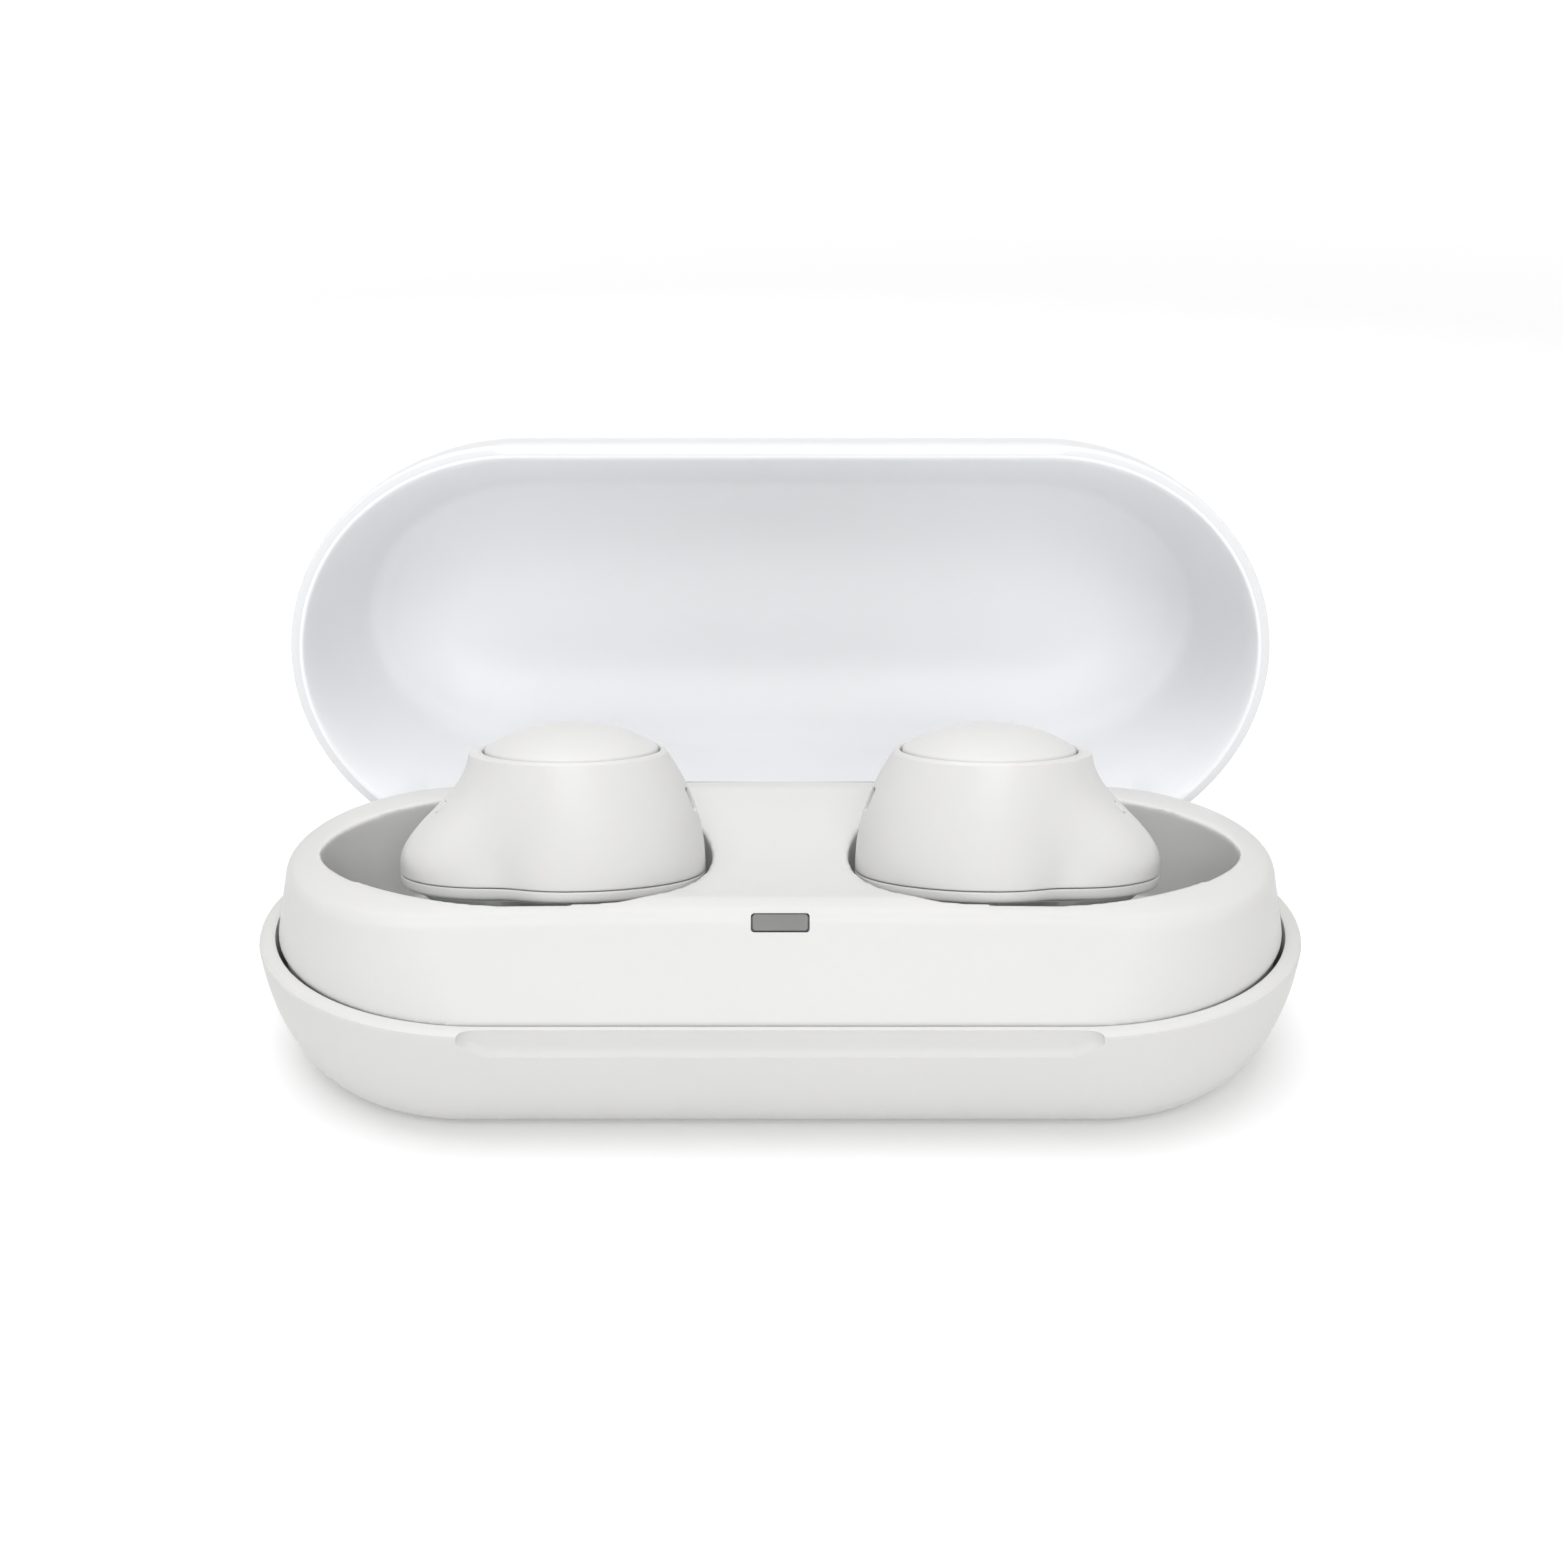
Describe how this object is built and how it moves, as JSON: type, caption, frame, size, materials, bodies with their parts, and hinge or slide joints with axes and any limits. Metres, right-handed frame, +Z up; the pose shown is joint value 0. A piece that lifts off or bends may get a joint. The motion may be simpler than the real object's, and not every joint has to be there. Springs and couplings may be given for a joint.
{
  "type": "wireless earbuds case",
  "caption": "Pill-shaped charging case for wireless earbuds, its hinged lid standing open, with an earbud seated in the well on each side.",
  "frame": {"origin": "centre of the case's flat underside", "axes": "+X along the case to the right as seen from its front, -Y out of its front, +Z up; the lid opens towards +Y"},
  "size_m": [0.08, 0.0546, 0.0426],
  "materials": {
    "body": "satin white moulded plastic",
    "lid": "frosted white moulded plastic, slightly cool",
    "liner": "smooth white moulded plastic",
    "silicone": "soft white silicone",
    "window": "smoked translucent plastic",
    "black": "black nylon",
    "steel": "nickel plated steel",
    "gold": "gold plated brass",
    "board": "green solder mask on glass epoxy",
    "foam": "grey foam tape",
    "cell": "foil pouch",
    "coin_cell": "plain metal can, standing in for a light cell",
    "led": "light emitter body",
    "magnet": "plated magnet",
    "flex": "amber film"
  },
  "bodies": {
    "base": {"battery_cell": "cell", "battery_pad": "foam", "board_screw_1": "steel", "board_screw_2": "steel", "board_screw_3": "steel", "board_screw_4": "steel", "closing_magnet_left": "magnet", "closing_magnet_right": "magnet", "contact_block_left": "black", "contact_block_right": "black", "flex_cable_left": "flex", "flex_cable_right": "flex", "hall_sensor": "black", "hinge_bracket": "black", "hinge_pin": "steel", "hinge_spring": "steel", "inner_frame": "body", "led_window": "window", "lower_shell": "body", "main_board": "board", "seat_magnet_left": "magnet", "seat_magnet_right": "magnet", "status_led": "led", "usb_c_shell": "steel", "usb_c_tongue": "black"},
    "lid": {"lid_shell": "lid", "lid_liner": "liner", "lid_hinge_bracket": "black", "lid_magnet_left": "magnet", "lid_magnet_right": "magnet"},
    "bud_left": {"outer_housing_left": "body", "inner_housing_left": "body", "ear_tip_left": "silicone", "nozzle_mesh_left": "steel", "mic_mesh_left": "black", "speaker_driver_left": "black", "bud_board_left": "board", "tact_switch_left": "steel", "bud_battery_left": "coin_cell", "bud_magnet_left": "magnet", "charge_pad_left_1": "gold", "charge_pad_left_2": "gold"},
    "button_left": {"button_cap_left": "body"},
    "pin_left_1": {"spring_pin_left_1": "gold"},
    "pin_left_2": {"spring_pin_left_2": "gold"},
    "bud_right": {"outer_housing_right": "body", "inner_housing_right": "body", "ear_tip_right": "silicone", "nozzle_mesh_right": "steel", "mic_mesh_right": "black", "speaker_driver_right": "black", "bud_board_right": "board", "tact_switch_right": "steel", "bud_battery_right": "coin_cell", "bud_magnet_right": "magnet", "charge_pad_right_1": "gold", "charge_pad_right_2": "gold"},
    "button_right": {"button_cap_right": "body"},
    "pin_right_1": {"spring_pin_right_1": "gold"},
    "pin_right_2": {"spring_pin_right_2": "gold"}
  },
  "joints": [
    {"name": "lid_hinge", "type": "hinge", "parent": "base", "child": "lid", "pos_m": [0, 0.015, 0.0104], "axis": [-1, 0, 0], "range_deg": [-95.7, 0]},
    {"name": "bud_lift_left", "type": "slide", "parent": "base", "child": "bud_left", "axis": [0, 0.2588, 0.9659], "range_m": [0, 0.025]},
    {"name": "button_press_left", "type": "slide", "parent": "bud_left", "child": "button_left", "axis": [0, -0.2588, -0.9659], "range_m": [0, 0.0003], "stiffness_N_per_m": 500, "springref_m": -0.0002},
    {"name": "pin_press_left_1", "type": "slide", "parent": "base", "child": "pin_left_1", "axis": [0, -0.2588, -0.9659], "range_m": [0, 0.0005], "stiffness_N_per_m": 200, "springref_m": -0.0005},
    {"name": "pin_press_left_2", "type": "slide", "parent": "base", "child": "pin_left_2", "axis": [0, -0.2588, -0.9659], "range_m": [0, 0.0005], "stiffness_N_per_m": 200, "springref_m": -0.0005},
    {"name": "bud_lift_right", "type": "slide", "parent": "base", "child": "bud_right", "axis": [0, 0.2588, 0.9659], "range_m": [0, 0.025]},
    {"name": "button_press_right", "type": "slide", "parent": "bud_right", "child": "button_right", "axis": [0, -0.2588, -0.9659], "range_m": [0, 0.0003], "stiffness_N_per_m": 500, "springref_m": -0.0002},
    {"name": "pin_press_right_1", "type": "slide", "parent": "base", "child": "pin_right_1", "axis": [0, -0.2588, -0.9659], "range_m": [0, 0.0005], "stiffness_N_per_m": 200, "springref_m": -0.0005},
    {"name": "pin_press_right_2", "type": "slide", "parent": "base", "child": "pin_right_2", "axis": [0, -0.2588, -0.9659], "range_m": [0, 0.0005], "stiffness_N_per_m": 200, "springref_m": -0.0005}
  ]
}
